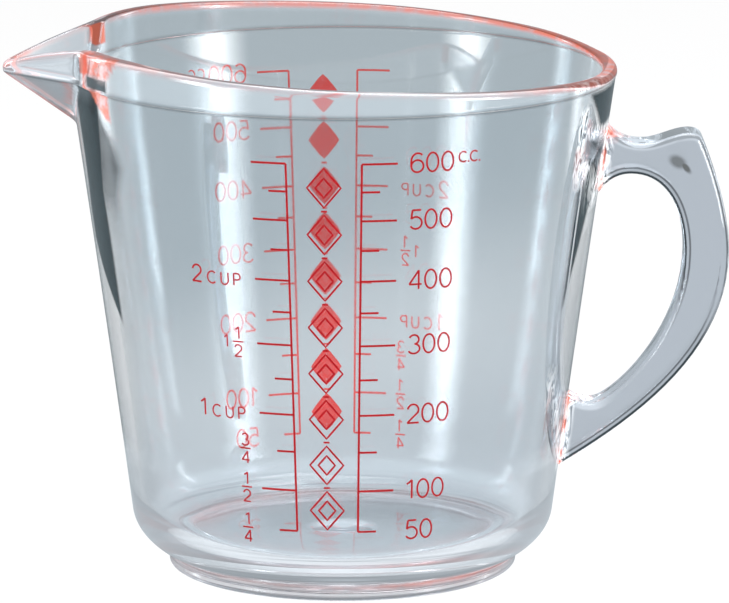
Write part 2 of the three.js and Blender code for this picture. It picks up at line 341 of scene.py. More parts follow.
handle = {
    "thickness": 10.4,
    "edgeRound": 1.8,
    "bondGap": 0.1,
    "bondDepth": 6,
    # places in the side view: reach from the wall and drop below the ledge
    "seatTop": (0, 11),
    "saddle": (7.7, 14.6),
    "horn": (17.1, 12.4),
    "grip": (19.8, 37.8),
    "loopTop": (6.2, 21.1),
    "upperSeat": (0, 25.2),
    "loopBottom": (5, 70),
    "lowerSeat": (0, 68.4),
    "seatFoot": (0, 83.2),
    "hornRound": 2.7,
    "hornFall": 1.35,
    "hornLean": 66.6,
    "hornPull": 7.8,
    "gripDepth": 9.3,
    "gripPullUp": 7.8,
    "gripPullDown": 20.4,
    "tailSlope": 31.5,
    "tailPull": 21,
    "saddlePull": 3.3,
    "seatPullOut": 1.65,
    "seatPullDown": 2.5,
    "loopPullUp": 8.6,
    "loopPullSide": 7.9,
    "loopPullDown": 18,
    "loopPullFoot": 4.2,
    "lowerFillet": 2.1,
    "curveSteps": 20,
    "roundSteps": 4,
    "cutterSteps": 160,
    "cutterFrom": 1,
    "weld": 0.005,
    "smoothUnder": 35,
}


def handlePlace(name):
    reach, drop = handle[name]
    return Vector((wallRadius(level - drop) + reach, level - drop))


# Every entry is a point of the side view with the ends of its two handles, all in mm from the cup's axis.
def handleOutline():
    h = handle
    seatTop, upperSeat = map(handlePlace, ("seatTop", "upperSeat"))
    lowerSeat, seatFoot = map(handlePlace, ("lowerSeat", "seatFoot"))
    saddle, horn, grip = map(handlePlace, ("saddle", "horn", "grip"))
    loopTop, loopBottom = map(handlePlace, ("loopTop", "loopBottom"))
    hornBack = horn + Vector((h["hornRound"], -h["hornFall"]))
    back = grip + Vector((h["gripDepth"], 0))
    lean = math.radians(h["hornLean"])
    tail = math.radians(h["tailSlope"])
    leanPull = Vector((math.cos(lean), -math.sin(lean)))
    tailPull = Vector((math.cos(tail), math.sin(tail)))
    seatPull = Vector((h["seatPullOut"], -h["seatPullDown"]))
    corner = Vector((hornBack.x - h["hornFall"] / math.tan(lean), horn.y))
    lowerCorner = Vector((lowerSeat.x + h["lowerFillet"], loopBottom.y))
    upperCorner = Vector((loopTop.x - h["loopPullFoot"], loopTop.y))
    deep = h["bondDepth"]
    ends = [
        seatTop - seatPull.normalized() * deep,
        seatFoot - tailPull * deep,
        lowerSeat - (lowerCorner - lowerSeat).normalized() * deep,
        upperSeat + (upperSeat - upperCorner).normalized() * deep,
    ]

    def third(point, aim):
        return point.lerp(aim, 2 / 3)

    return [
        (ends[0], ends[0], ends[0].lerp(seatTop, 1 / 3)),
        (seatTop, seatTop - seatPull, seatTop + seatPull),
        (saddle, saddle - Vector((h["saddlePull"], 0)), saddle + Vector((h["saddlePull"], 0))),
        (horn, horn - Vector((h["saddlePull"], 0)), third(horn, corner)),
        (hornBack, third(hornBack, corner), hornBack + leanPull * h["hornPull"]),
        (back, back + Vector((0, h["gripPullUp"])), back - Vector((0, h["gripPullDown"]))),
        (seatFoot, seatFoot + tailPull * h["tailPull"], seatFoot - tailPull * deep / 3),
        (ends[1], ends[1] + tailPull * deep / 3, ends[1]),
        (ends[2], ends[2], ends[2].lerp(lowerSeat, 1 / 3)),
        (lowerSeat, lowerSeat.lerp(ends[2], 1 / 3), third(lowerSeat, lowerCorner)),
        (loopBottom, third(loopBottom, lowerCorner), loopBottom + Vector((h["loopPullFoot"], 0))),
        (grip, grip - Vector((0, h["loopPullDown"])), grip + Vector((0, h["loopPullUp"]))),
        (loopTop, loopTop + Vector((h["loopPullSide"], 0)), third(loopTop, upperCorner)),
        (upperSeat, third(upperSeat, upperCorner), upperSeat.lerp(ends[3], 1 / 3)),
        (ends[3], ends[3].lerp(upperSeat, 1 / 3), ends[3]),
    ]


clearSelection()
bpy.ops.curve.primitive_bezier_curve_add()
bar = bpy.context.object
bar.name = bar.data.name = "handleBar"
outline = bar.data
outline.dimensions = "2D"
outline.fill_mode = "BOTH"
outline.resolution_u = handle["curveSteps"]
outline.bevel_depth = handle["edgeRound"] * mm
outline.bevel_resolution = handle["roundSteps"]
outline.offset = -handle["edgeRound"] * mm
outline.extrude = (handle["thickness"] / 2 - handle["edgeRound"]) * mm
outline.splines.clear()
spline = outline.splines.new("BEZIER")
points = handleOutline()
spline.bezier_points.add(len(points) - 1)
spline.use_cyclic_u = True
for knot, places in zip(spline.bezier_points, points):
    knot.handle_left_type = knot.handle_right_type = "FREE"
    knot.co, knot.handle_left, knot.handle_right = [
        Vector(((axisX + place.x) * mm, place.y * mm, 0)) for place in places]
bar.rotation_euler = (math.pi / 2, 0, 0)
bpy.ops.object.convert(target="MESH")
bar = bpy.context.object
bpy.ops.object.transform_apply(location=True, rotation=True, scale=True)
bpy.ops.object.mode_set(mode="EDIT")
weld(handle["weld"])
low = handle["cutterFrom"]
seats = [(wallRadius(z) + handle["bondGap"], z) for z in rows(low, level, cup["wallRow"])]
cutter = turnedPiece("seatCutter", [(0, low)] + seats + [(0, level)], 180, [(360, handle["cutterSteps"])])
trim = bar.modifiers.new("seats", "BOOLEAN")
trim.object = cutter
trim.operation = "DIFFERENCE"
trim.solver = "EXACT"
applyModifiers(bar)
bpy.data.objects.remove(cutter)
smoothPiece(bar, handle["smoothUnder"])
even = bar.modifiers.new("evenLight", "WEIGHTED_NORMAL")
even.keep_sharp = True
applyModifiers(bar)
print("handle bent and seated:", len(bar.data.polygons), "faces")


def between(low, high, value):
    t = min(1, max(0, (value - low) / (high - low)))
    return t * t * (3 - 2 * t)


def within(low, high, soft, value):
    return between(low - soft, low + soft, value) * (1 - between(high - soft, high + soft, value))


def onTable(table, value):
    for (a, x), (b, y) in zip(table, table[1:]):
        if value <= b:
            return x + (y - x) * (value - a) / (b - a)
    return table[-1][1]


# How far the spout's underside reaches round the wall at a height, in degrees off the spout.
def spoutReach(z):
    widest = math.degrees(math.asin(spout["halfWidth"] / cup["levelRadius"]))
    return widest * between(*spout["reachFade"], (z - level) / spout["drop"] + 1)


far = 999
skin = "wall collar"  # the outside, below and above the ledge
every = "wall collar inside"
# Share of painted coral glow over the angle, from the handle round by the back to the spout and the front.
lipCoral = [(0, 1.0), (35, 1.0), (60, 0.85), (110, 0.75), (140, 0.7), (158, 0.15), (174, 0.15), (180, 0.9),
            (186, 0.15), (200, 0.2), (206, 0.6), (225, 0.45), (245, 0.2), (285, 0.1), (305, 0.3), (330, 0.8),
            (350, 1.0), (360, 1.0)]
floorCoral = [(0, 0.1), (60, 0.15), (110, 0.4), (170, 0.4), (200, 0.1), (290, 0.1), (330, 0.2), (360, 0.1)]
footCoral = [(0, 0.1), (200, 0.15), (240, 0.1), (275, 0.2), (300, 0.5), (335, 0.35), (360, 0.1)]
# Masks that the clear plastic reads, most of them painted glow, painted light and painted shade. Each patch
# has its share, the faces that it lies on, and for every measure of a spot the two ends that it fades at and
# half the width of the fade.
patches = {
    "coral": [  # painted coral glow of the edges
        (lipCoral, every, {"under": (-far, 1.0, 0.5)}),
        (0.6, "wall", {"z": (88, far, 0.01), "turn": (-far, 1.5, 0.7)}),  # keel
        (2, "inside", {"turn": (17.5, 21.5, 0.5), "under": (0.6, 4.9, 0.4)}),  # inside of each neck
        (floorCoral, "inside", {"z": (-far, cup["thickBelow"], 0.01), "radius": (30.8, 33.0, 0.5)}),
        (footCoral, "wall", {"z": (2.2, 4.0, 0.6)}),
    ],
    "sideCoral": [  # painted coral glow that shows only from outside, beside each neck
        (0.95, "collar", {"turn": (21, far, 0.8), "neck": (-far, 30, 0.8)}),
        (0.95, "wall", {"above": (-5.4, far, 0.6), "turn": (-far, 33, 0.5), "tail": (25, far, 0.5)}),
        (0.4, "wall", {"above": (-6, far, 0.01), "past": (-4.0, -2.2, 0.8)}),
    ],
    "seatCoralGlow": [(0.6, "wall", {"off": (27.5, 30, 0.8), "z": (88.8, 92.6, 0.8)})],  # painted coral glow beside the upper seat, at a slant
    "shade": [  # painted shade: dark lines along the ledge all round, and at both necks
        (0.7, skin, {"above": (-0.19, 0.23, 0.09)}),
        (0.8, "collar", {"turn": (18.6, 20.2, 0.4), "under": (1.2, far, 0.4)}),
    ],
    "sideShade": [(1, "collar", {"turn": (23, 33, 0.6), "above": (0.4, 3.0, 0.25)})],  # painted shade beside each neck
    "seat": [  # at a slant, painted shade: a dark box and a dark wedge at the upper seat
        (0.55, "wall", {"off": (17.5, 25, 1), "z": (89.3, 93.6, 0.6)}),
        (1, skin, {"off": (5, far, 1), "wedge": (-far, 18, 1), "z": (95.2, level - 0.3, 0.6)}),
    ],
    "calm": [  # the spout's sides are plain planes, one above the ledge and one below it, given a dark tint and an even painted glow
        (0.75, "collar", {"turn": (-far, 17.25, 0.75), "under": (1.2, far, 0.4)}),
        (1, "wall", {"above": (-spout["drop"], far, 0.01), "past": (-far, -2.25, 0.75)}),
    ],
    "pale": [(1, every, {"above": (0.4, far, 0.2), "y": (-far, 4, 8)})],  # painted light: the front of the collar made paler
    # painted glow: round both necks, at the edges of the spout's underside, inside each neck and along the
    # lip
    "lit": [
        (0.2, every, {"turn": (13, 25, 2), "above": (-2, far, 2)}),
        (0.7, "wall", {"above": (-spout["drop"], far, 0.01), "past": (-2.0, 1.0, 1.2)}),
        (0.9, "inside", {"turn": (16.5, 22.5, 0.6), "under": (4.7, 8.5, 0.4)}),
        (0.14, every, {"under": (-far, 1.75, 0.75)}),
    ],
    "spark": [  # both seats of the handle break the light up in the wall beside them
        (1, skin, {"off": (26.5, 30, 0.8), "z": (84, 101, 1.2)}),
        (1, skin, {"off": (4, 11, 1), "z": (82, 95.5, 1)}),
        (0.6, skin, {"off": (10, 27, 1.5), "crest": (93.6, 96.2, 0.6)}),
        (1, skin, {"off": (4, 26, 1.5), "sill": (81.4, 87, 0.8)}),
        (0.8, skin, {"z": (22, 42, 2), "strip": (5.5, 10.5, 1.5)}),
        (0.7, skin, {"off": (13, 36, 4), "above": (0.8, far, 0.4)}),
    ],
    "shoulder": [(1, "wall", {"z": (5, 27, 4)})],
    "foot": [(1, "wall", {"z": (-far, 6.75, 2.25)})],
}
# Measures of slanting edges: one measure less a slope times what another is past a start.
slants = {
    "neck": ("turn", 7, "risen", 0),
    "tail": ("turn", -7 / 6, "above", 0),
    "wedge": ("off", 1.1, "z", 95.4),
    "crest": ("z", 0.1, "off", 20),
    "sill": ("z", 0.14, "off", 8),
    "strip": ("off", 0.95, "z", 22),
}
# Painted glow, in place of light, on the edges, the plain planes, the collar, the base and the cup's floor.
edgeGlow = {
    "backAngles": (40, 150),  # here the lip keeps a grey outer edge
    "backEdge": (55.2, 56.2),
    "backGrey": 0.7,
    "planeLit": {"collar": 1.05, "wall": 0.65},
    "collarLit": 0.25,
    "baseTop": 14,
    "footLit": (0.12, 0.3, 0.35),  # all over, on the shoulder and at the bottom edge
    "shoulderRows": (3.6, 11, 1.2),
    "bottomRows": (0.7, 1.6),
    "floorLit": (0.08, 0.14),  # all over and towards its corner
    "floorCorner": (31, 34),
    "floorFade": (10, 14),
    "gateEdge": (3.7, 4.3),
}


# What a spot of the cup is measured by, in mm and degrees.
def measureSpot(vertex):
    x, y, z = vertex.co.x / mm - axisX, vertex.co.y / mm, vertex.co.z / mm
    radius = math.hypot(x, y)
    outside = radius > wallRadius(min(z, level)) - cup["wall"] / 2
    if z < cup["thickBelow"]:  # here the faces are told apart by where they look
        outside = (vertex.normal.x * x + vertex.normal.y * y) / max(radius, 0.01) > vertex.normal.z
    angle = math.degrees(math.atan2(y, x)) % 360
    turn = math.degrees(math.atan2(abs(y), -x))
    above = z - level
    under = lipHeight(x) - z if z > cup["fineFrom"] - 1 else far
    spot = {
        "face": ("collar" if above > 0 else "wall") if outside else "inside",
        "y": y, "z": z, "radius": radius, "angle": angle,
        "off": min(angle, 360 - angle),  # from the handle
        "turn": turn,  # from the spout
        "past": turn - spoutReach(z),
        "above": above,  # the ledge
        "under": under,  # the lip's top
        "risen": above / (under + above) if above > 0 else 0,
    }
    for name, (measure, slope, other, start) in slants.items():
        spot[name] = spot[measure] - slope * (spot[other] - start)
    return spot


def patchShare(patch, spot):
    share, faces, spans = patch
    if spot["face"] not in faces:
        return 0
    if isinstance(share, list):
        share = onTable(share, spot["angle"])
    for measure, (low, high, soft) in spans.items():
        if not low - soft < spot[measure] < high + soft:
            return 0
        share *= within(low, high, soft, spot[measure])
    return share


# Painted glow on the base and on the cup's floor.
def baseLit(spot):
    e = edgeGlow
    z, radius = spot["z"], spot["radius"]
    if z >= e["baseTop"]:
        return 0
    if spot["face"] == "inside":
        disc = max(e["floorLit"][0] + e["floorLit"][1] * between(*e["floorCorner"], radius),
                   1 - between(*e["gateEdge"], radius))
        return disc * (1 - between(*e["floorFade"], z))
    plain, shoulder, bottom = e["footLit"]
    return plain + shoulder * within(*e["shoulderRows"], z) + bottom * (1 - between(*e["bottomRows"], z))


rim = {
    # over the height: slants of the view where a wedge of painted shade starts and ends, and where a fainter
    # band of painted shade starts
    "spoutFrom": [(36, 0.64), (50, 0.64), (54, 0.622), (84.5, 0.628), (88, 0.61), (93, 0.594), (98, 0.58),
                  (105, 0.57)],
    "spoutTo": [(36, 0.60), (50, 0.60), (53, 0.64), (55.6, 0.70), (58.5, 0.735), (61.5, 0.765), (64, 0.82),
                (67, 0.85), (70, 0.90), (79, 0.90), (85, 0.87), (105, 0.86)],
    "spoutFaint": [(40, 0.50), (76, 0.50), (79, 0.515), (82.5, 0.51), (86, 0.485), (89.4, 0.47),
                   (92.4, 0.482), (95.3, 0.502), (98, 0.538), (101, 0.57), (105, 0.57)],
    "handleFrom": [(36, 0.64), (50, 0.64), (54, 0.60), (75, 0.60), (82, 0.59), (86, 0.62), (90, 0.75),
                   (93, 0.9), (97, 1.2), (105, 1.2)],
    "handleTo": [(36, 0.58), (50, 0.58), (56, 0.62), (59.2, 0.667), (62, 0.692), (65, 0.698), (68, 0.73),
                 (71, 0.743), (74, 0.773), (77, 0.779), (79.7, 0.829), (88, 0.9), (105, 0.9)],
    "handleFaint": [(12, 0.55), (60, 0.55), (72, 0.6), (80, 1.2), (105, 1.2)],
    "faint": [(12, 0.1), (24, 0.22), (45, 0.26), (52, 0.34), (74, 0.34), (79, 0.6), (84, 0.95), (105, 0.95)],
    "faintSoft": 0.07,
    "faintEnd": (0.84, 0.80),
    "lowest": 14,
    "soft": 0.04,
    "split": (0.657, 0.004, 0.009),  # a thin bright line in the dark beside the handle
    "splitShare": 0.75,
    "splitAlong": (0.0, 0.01),
    "never": 2,  # a slant that no view has
}


# A wedge of painted shade beside the spout and beside the handle, wide under the ledge and pointed below.
def rimShares(spot):
    z = spot["z"]
    shares = {"rimFrom": rim["never"], "rimTo": rim["never"], "faintFrom": rim["never"], "faint": 0}
    if z > rim["lowest"]:
        shares["faint"] = onTable(rim["faint"], z)
    onSpout = z > level - spout["drop"] and spot["past"] < 0
    if spot["face"] == "wall" and z >= rim["lowest"] and not onSpout:
        side = "handle" if spot["turn"] > 90 else "spout"
        for name, table in (("rimFrom", "From"), ("rimTo", "To"), ("faintFrom", "Faint")):
            shares[name] = onTable(rim[side + table], z)
    return shares


masks = {name: [] for name in (*patches, "rimFrom", "rimTo", "faintFrom", "faint")}
for vertex in shell.data.vertices:
    spot = measureSpot(vertex)
    shares = rimShares(spot)
    for name, made in patches.items():
        shares[name] = max(patchShare(patch, spot) for patch in made)
    shares["pale"] *= 1 - shares["calm"]
    plane = shares["calm"] * edgeGlow["planeLit"].get(spot["face"], 0)
    lit = max(shares["lit"], baseLit(spot), plane, edgeGlow["collarLit"] * shares["pale"])
    shares["lit"] = lit * (1 - shares["shade"])
    shares["coral"] *= 1 - shares["shade"]
    if edgeGlow["backAngles"][0] < spot["angle"] < edgeGlow["backAngles"][1]:
        shares["coral"] *= 1 - edgeGlow["backGrey"] * between(*edgeGlow["backEdge"], spot["radius"])
    for name, values in masks.items():
        values.append(shares[name])
for name, values in masks.items():
    mask = shell.data.attributes.new(name, "FLOAT", "POINT")
    mask.data.foreach_set("value", values)
print("edge masks laid on the cup")

bench = {}  # holds the node tree that is being wired
black = (0, 0, 0, 1)
white = (1, 1, 1, 1)


def newMaterial(name):
    material = bpy.data.materials.new(name)
    material.use_nodes = True
    bench["tree"] = material.node_tree
    nodes = material.node_tree.nodes
    return material, nodes["Principled BSDF"], nodes["Material Output"].inputs["Surface"]


def feed(socket, value):
    if isinstance(value, bpy.types.NodeSocket):
        bench["tree"].links.new(value, socket)
    else:
        socket.default_value = value


def feedAll(node, values):
    for name, value in values.items():
        feed(node.inputs[name], value)


def addNode(kind, values=None, **settings):
    node = bench["tree"].nodes.new("ShaderNode" + kind)
    for name, setting in settings.items():
        setattr(node, name, setting)
    feedAll(node, values or {})
    return node.outputs


def mixColours(factor, first, second):
    return addNode("Mix", {"Factor": factor, 6: first, 7: second}, data_type="RGBA")[2]


def mixShaders(factor, first, second):
    return addNode("MixShader", {0: factor, 1: first, 2: second})[0]


def doMath(operation, first, second):
    return addNode("Math", {0: first, 1: second}, operation=operation)[0]


times, minus, larger = (partial(doMath, operation) for operation in ("MULTIPLY", "SUBTRACT", "MAXIMUM"))


def vectorMath(operation, *values):
    made = addNode("VectorMath", dict(enumerate(values)), operation=operation)
    return made["Value"] if operation in ("LENGTH", "DOT_PRODUCT") else made["Vector"]


def mapRange(value, low, high, start=0.0, end=1.0, kind="SMOOTHSTEP"):
    values = {"Value": value, "From Min": low, "From Max": high, "To Min": start, "To Max": end}
    return addNode("MapRange", values, interpolation_type=kind)["Result"]


def noise(where, scale, detail=2.0, distortion=0.0):
    values = {"Vector": where, "Scale": scale, "Detail": detail, "Distortion": distortion}
    return addNode("TexNoise", values)["Fac"]


def stretched(where, scale):
    return addNode("Mapping", {"Vector": where, "Scale": scale})["Vector"]


def objectPlace():
    return addNode("TexCoord")["Object"]


def axesOf(vector):
    return addNode("SeparateXYZ", {0: vector})


def newGroup(name, colours, values, results):
    group = bpy.data.node_groups.new(name, "ShaderNodeTree")
    for sockets, kind in ((colours, "NodeSocketColor"), (values, "NodeSocketFloat")):
        for socket in sockets:
            group.interface.new_socket(name=socket, in_out="INPUT", socket_type=kind)
    for socket, kind in results.items():
        group.interface.new_socket(name=socket, in_out="OUTPUT", socket_type=kind)
    bench["tree"] = group
    return group, group.nodes.new("NodeGroupInput").outputs, group.nodes.new("NodeGroupOutput")


plastic = {
    "wall": (0.69, 0.735, 0.77, 1),
    "high": (0.40, 0.465, 0.505, 1),  # painted shade: darker towards the ledge, at the back
    "clear": (0.90, 0.93, 0.95, 1),  # painted light: paler towards the ledge, in front
    "frontToBack": (-0.015, 0.03),
    "lowToHigh": (0.024, 0.072),
    "lean": 0.28,  # the painted change of tint sits higher up towards the handle
    # darker tint at the foot, lifted by the painted glow of the base
    "foot": (0.44, 0.465, 0.485, 1),
    # dark tint of the spout's plain planes and the turned shoulder, under their painted glow
    "calm": (0.10, 0.11, 0.118, 1),
    "handle": (0.46, 0.51, 0.57, 1),
    "spot": (0.025, 0.025, 0.017, 1),
    "shadowTint": (0.86, 0.89, 0.91, 1),
    "shader": {"IOR": 1.5, "Transmission Weight": 1.0, "Emission Strength": 1.0},
    "skin": {"Smooth": 0.015, "Hazy": 0.05, "Ripple": 0.006},
    # colours of the painted light and shade: a paler front, coral glow, painted shade and glows
    "masked": {
        "Pale": (0.93, 0.955, 0.97, 1),
        "Coral": (0.56, 0.06, 0.03, 1),
        "Dark": (0.0012, 0.003, 0.004, 1),
        "Lit Glow": (0.29, 0.315, 0.34, 1),
        "Coral Glow": (0.37, 0.075, 0.04, 1),
        "Spark Glow": (0.85, 0.86, 0.87, 1),
    },
    "broken": {"stretch": (1, 1, 0.25), "scale": 520, "detail": 3, "distortion": 2.2, "bright": (0.45, 0.53),
               "dim": (0.41, 0.36)},
    "cloudy": {"scale": 380, "from": (0.36, 0.56), "to": (0.68, 1.0)},
    "haze": {"scale": 60, "detail": 3, "from": (0.4, 0.7)},
    "wave": {"stretch": (1, 1, 0.12), "scale": 70, "detail": 1, "depth": 0.0005},
}

# The plastic's tint, and from masks its painted shade, painted paler light and painted glow of its edges, and
# the painted light that breaks up beside a seat.
tintAndPaintedLight, given, made = newGroup(
    "tintAndPaintedLight", ("Wall", *plastic["masked"]),
    ("Pale Mask", "Coral Mask", "Dark Mask", "Lit Mask", "Spark Mask"),
    {"Colour": "NodeSocketColor", "Glow": "NodeSocketColor"})
where = objectPlace()
style = plastic["broken"]
broken = noise(stretched(where, style["stretch"]), style["scale"], style["detail"], style["distortion"])
bright = times(mapRange(broken, *style["bright"]), given["Spark Mask"])
dim = times(mapRange(broken, *style["dim"]), given["Spark Mask"])
style = plastic["cloudy"]
coral = times(mapRange(noise(where, style["scale"]), *style["from"], *style["to"]), given["Coral Mask"])
tint = mixColours(given["Pale Mask"], given["Wall"], given["Pale"])
tint = mixColours(larger(given["Dark Mask"], dim), tint, given["Dark"])
glow = mixColours(given["Lit Mask"], black, given["Lit Glow"])
glow = mixColours(bright, glow, given["Spark Glow"])
feedAll(made, {"Colour": mixColours(coral, tint, given["Coral"]),
               "Glow": mixColours(coral, glow, given["Coral Glow"])})

# The faint unevenness of a polished moulding: patches of haze, and slow upright ripples.
mouldSkin, given, made = newGroup("mouldSkin", (), plastic["skin"],
                                  {"Roughness": "NodeSocketFloat", "Normal": "NodeSocketVector"})
where = objectPlace()
style = plastic["haze"]
haze = noise(where, style["scale"], style["detail"])
rough = mapRange(haze, *style["from"], given["Smooth"], given["Hazy"], "LINEAR")
style = plastic["wave"]
wave = noise(stretched(where, style["stretch"]), style["scale"], style["detail"])
bump = addNode("Bump", {"Strength": given["Ripple"], "Distance": style["depth"], "Height": wave})
feedAll(made, {"Roughness": rough, "Normal": bump["Normal"]})


# Gives the material, the node of its tint and painted light, and the slant of the view.
def clearPlastic(name):
    material, shader, surface = newMaterial(name)
    tint = bench["tree"].nodes.new("ShaderNodeGroup")
    tint.node_tree = tintAndPaintedLight
    feedAll(tint, plastic["masked"])
    skin = addNode("Group", plastic["skin"], node_tree=mouldSkin)
    feedAll(shader, plastic["shader"])
    feedAll(shader, {"Base Color": tint.outputs["Colour"], "Emission Color": tint.outputs["Glow"],
                     "Roughness": skin["Roughness"], "Normal": skin["Normal"]})
    through = addNode("BsdfTransparent", {"Color": plastic["shadowTint"]})[0]
    shadow = addNode("LightPath")["Is Shadow Ray"]  # lamps reach what is behind the plastic
    feed(surface, mixShaders(shadow, shader.outputs[0], through))
    return material, tint, addNode("LayerWeight", {"Blend": 0.5})["Facing"]


base = {
    "bandStretch": (12, 12, 1500),  # fine lines that run round the foot
    "bandEdges": (0.5, 0.38),
    "bandShare": 0.75,
    "turnSlants": (0.25, 0.6),  # the shoulder is plain where it turns away: a dark tint and a painted glow
    "turnAlong": (-0.045, 0.035),
    "turnLit": (0.9, 1.22),  # towards the spout and towards the handle
    "seatSlants": (0.35, 0.55),  # the seats break up the light in the wall beside them, at a slant
}
clearBody, tint, slant = clearPlastic("clearBody")
where = objectPlace()
axes = axesOf(where)
mask = {name: addNode("Attribute", attribute_name=name)["Fac"] for name in masks}
outer = minus(1.0, addNode("NewGeometry")["Backfacing"])
slanted = times(outer, mapRange(slant, *base["seatSlants"]))
# Painted shade and light on the wall: darker towards the ledge at the back, paler towards it in front.
high = mixColours(mapRange(axes["Y"], *plastic["frontToBack"]), plastic["clear"], plastic["high"])
leaning = minus(axes["Z"], times(axes["X"], plastic["lean"]))
wallTint = mixColours(mapRange(leaning, *plastic["lowToHigh"]), plastic["wall"], high)
wallTint = mixColours(mask["foot"], wallTint, plastic["foot"])
turned = times(mask["shoulder"], mapRange(slant, *base["turnSlants"]))
# Painted shade by the slant of the view: the dark wedges, a thin bright line left in them, and a fainter band
# of painted shade.
wedge = times(mapRange(minus(slant, mask["rimFrom"]), 0.0, rim["soft"]),
              mapRange(minus(mask["rimTo"], slant), 0.0, rim["soft"]))
middle, thin, clear = rim["split"]
split = mapRange(doMath("ABSOLUTE", minus(slant, middle), 0.0), thin, clear, rim["splitShare"], 0.0)
wedge = times(wedge, minus(1.0, times(split, mapRange(axes["X"], *rim["splitAlong"]))))
fainterShade = times(mapRange(minus(slant, mask["faintFrom"]), 0.0, rim["faintSoft"]), mask["faint"])
fainterShade = times(fainterShade, mapRange(slant, *rim["faintEnd"]))
bands = noise(stretched(where, base["bandStretch"]), 1)
bands = times(mapRange(bands, *base["bandEdges"], 0.0, base["bandShare"]), mask["foot"])
dark = larger(larger(wedge, fainterShade), larger(bands, mask["shade"]))
dark = larger(dark, times(mask["sideShade"], outer))
# Painted coral glow beside each neck, from outside, and beside the upper seat at a slant.
coral = times(mask["sideCoral"], minus(outer, mask["sideShade"]))
coral = larger(coral, times(mask["seatCoralGlow"], slanted))
turnLit = times(turned, mapRange(axes["X"], *base["turnAlong"], *base["turnLit"]))
feedAll(tint, {
    "Wall": mixColours(larger(mask["calm"], turned), wallTint, plastic["calm"]),
    "Pale Mask": mask["pale"],
    "Coral Mask": larger(mask["coral"], coral),
    "Dark Mask": larger(dark, times(mask["seat"], slanted)),
    "Lit Mask": larger(mask["lit"], turnLit),
    "Spark Mask": times(mask["spark"], slanted),
})

bond = {
    "line": (0.0002, 0.0007),  # painted coral glow at the seats, over the distance from the wall
    "corner": (0.0008, 0.0030),
    "cornerAbove": (0.0895, 0.0905),
    "coralShare": 0.95,
    "patches": {"scale": 260, "from": (0.38, 0.56), "to": (0.15, 1.0)},
    "spark": (0.0004, 0.0022),
    # painted shade: dark share over the slant of the view, where a rounded edge looks down or into the loop
    "edge": [(0.03, 0), (0.05, 0.9), (0.09, 0.9), (0.14, 0.1), (0.25, 0.1), (0.34, 1.0), (0.66, 1.0),
             (0.85, 0.4), (1.0, 0.1)],
    "up": (0.35, 0, 1),  # the way that the rounded edge on top looks
    "under": (-0.25, 0.15),
    "aside": (0.1, 0.4),
    "onTop": (0.5, 0.9),
    "topRound": (0.15, 0.5),
    "topLit": 0.7,
    # dark spots inside the grip: place, half size, degrees that they point down, share
    "darkSpots": [((0.0646, -0.0052, 0.0860), (0.0027, 0.004, 0.0018), 30, 0.85),
                ((0.0663, -0.0052, 0.0848), (0.0021, 0.004, 0.0009), 50, 0.95)],
    "darkSpotEdge": (0.4, 1.0),
}


# Sideways from the cup's axis, in metres.
def axisVector(where):
    return vectorMath("MULTIPLY_ADD", where, (1, 1, 0), (-axisX * mm, 0, 0))


clearHandle, tint, slant = clearPlastic("clearHandle")
where = objectPlace()
axes = axesOf(where)
slope = (cup["levelRadius"] - cup["shoulderRadius"]) / (level - cup["shoulderHeight"])
start = (cup["shoulderRadius"] - slope * cup["shoulderHeight"]) * mm
wallHere = doMath("ADD", times(axes["Z"], slope), start)
reach = minus(vectorMath("LENGTH", axisVector(where)), wallHere)
# Painted coral glow along the seats and at the upper corner, in patches.
line = mapRange(reach, *bond["line"], bond["coralShare"], 0.0)
corner = times(mapRange(reach, *bond["corner"], bond["coralShare"], 0.0),
               mapRange(axes["Z"], *bond["cornerAbove"]))
style = bond["patches"]
patchy = mapRange(noise(where, style["scale"]), *style["from"], *style["to"])
edge = bench["tree"].nodes.new("ShaderNodeValToRGB")
ramp = edge.color_ramp.elements
for place, share in bond["edge"][1:-1]:
    ramp.new(place)
for element, (place, share) in zip(ramp, bond["edge"]):
    element.position = place
    element.color = (share, share, share, 1)
feed(edge.inputs["Fac"], slant)
normal = addNode("NewGeometry")["Normal"]
sideways = vectorMath("MULTIPLY", normal, (1, 0, 1))  # where the rounded edge looks, in the side view
looks = vectorMath("DOT_PRODUCT", vectorMath("NORMALIZE", sideways), bond["up"])
# Painted shade under the rounded edges that look down, and painted light on the rounded edge on top.
under = times(mapRange(looks, *bond["under"], 1.0, 0.0),
              mapRange(doMath("ABSOLUTE", axesOf(normal)["Y"], 0.0), *bond["aside"]))
onTop = times(mapRange(looks, *bond["onTop"], 0.0, bond["topLit"]),
              mapRange(vectorMath("LENGTH", sideways), *bond["topRound"]))
darkSpot = 0.0
for place, halfSize, pointing, share in bond["darkSpots"]:
    turned = (0, math.radians(pointing), 0)
    values = {"Vector": where, "Location": place, "Rotation": turned, "Scale": halfSize}
    away = vectorMath("LENGTH", addNode("Mapping", values, vector_type="TEXTURE")["Vector"])
    darkSpot = larger(mapRange(away, *bond["darkSpotEdge"], share, 0.0), darkSpot)
# Painted broken light right at the seats, from the spark mask.
feedAll(tint, {
    "Wall": mixColours(darkSpot, plastic["handle"], plastic["spot"]),
    "Coral Mask": times(patchy, larger(line, corner)),
    "Dark Mask": times(edge.outputs["Color"], under),
    "Lit Mask": onTop,
    "Spark Mask": mapRange(reach, *bond["spark"], 1.0, 0.0),
})

